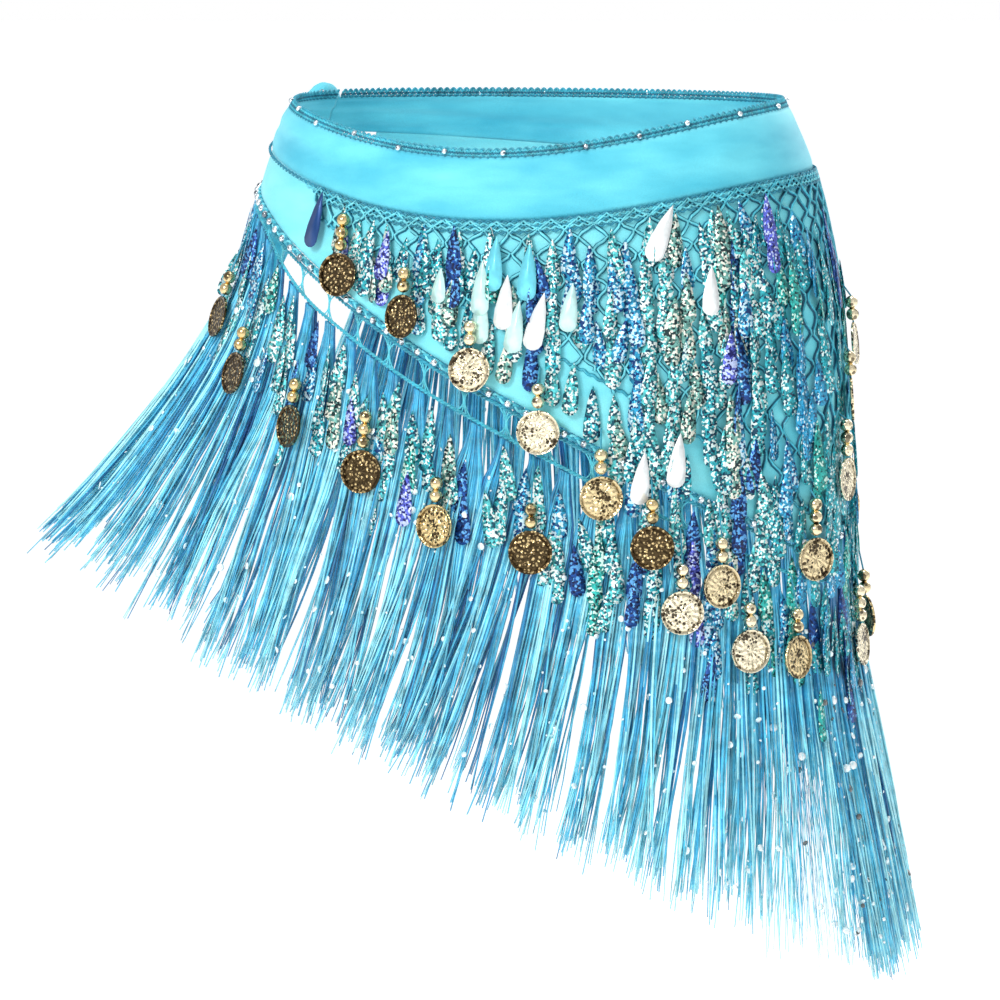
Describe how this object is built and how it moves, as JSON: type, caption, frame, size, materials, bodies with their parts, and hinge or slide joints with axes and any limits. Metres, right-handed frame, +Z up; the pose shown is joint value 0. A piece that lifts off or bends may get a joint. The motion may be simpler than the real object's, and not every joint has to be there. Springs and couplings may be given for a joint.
{
  "type": "belly dance hip scarf",
  "caption": "Triangular belly dance hip scarf in its worn, hollow form: waistband, netted panel, open crochet edge, long flying fringe and gold coin drops.",
  "frame": {"origin": "middle of the waistband's ring, where the wearer's hips hold it", "axes": "+Z up, -Y the wearer's front, +X the wearer's left, where the long point hangs"},
  "size_m": [0.4669, 0.2849, 0.4685],
  "materials": {
    "velvet": "soft short-nap turquoise velvet",
    "panel_cloth": "plain light turquoise cloth",
    "crochet_yarn": "twisted teal crochet yarn",
    "fringe_thread": "twisted glossy turquoise thread",
    "gold_coin": "bright hammered gold-coloured metal",
    "paillette": "holographic glitter",
    "silver_bead": "small bright silver-coloured beads"
  },
  "bodies": {
    "root": {"waistband": "velvet", "waist_trim": "crochet_yarn", "hip_panel": "panel_cloth", "crochet_net": "crochet_yarn", "edge_braid": "crochet_yarn", "ladder_front": "crochet_yarn", "ladder_back": "crochet_yarn", "tie_knot": "velvet", "tie_tail_long": "velvet", "tie_tail_short": "velvet", "fringe_1": "fringe_thread", "fringe_2": "fringe_thread", "fringe_3": "fringe_thread", "fringe_4": "fringe_thread", "fringe_5": "fringe_thread", "fringe_6": "fringe_thread", "net_coin_01": "gold_coin", "net_coin_02": "gold_coin", "net_coin_03": "gold_coin", "net_coin_04": "gold_coin", "net_coin_05": "gold_coin", "net_coin_06": "gold_coin", "net_coin_07": "gold_coin", "net_coin_08": "gold_coin", "net_coin_09": "gold_coin", "net_coin_10": "gold_coin", "net_coin_11": "gold_coin", "net_coin_12": "gold_coin", "net_coin_13": "gold_coin", "net_coin_14": "gold_coin", "net_coin_15": "gold_coin", "net_coin_16": "gold_coin", "fringe_coin_01": "gold_coin", "fringe_coin_02": "gold_coin", "fringe_coin_03": "gold_coin", "fringe_coin_04": "gold_coin", "fringe_coin_05": "gold_coin", "fringe_coin_06": "gold_coin", "fringe_coin_07": "gold_coin", "fringe_coin_08": "gold_coin", "fringe_coin_09": "gold_coin", "fringe_coin_10": "gold_coin", "fringe_coin_11": "gold_coin", "fringe_coin_12": "gold_coin", "fringe_coin_13": "gold_coin", "fringe_coin_14": "gold_coin", "fringe_coin_15": "gold_coin", "fringe_coin_16": "gold_coin", "fringe_coin_17": "gold_coin"}
  },
  "joints": []
}
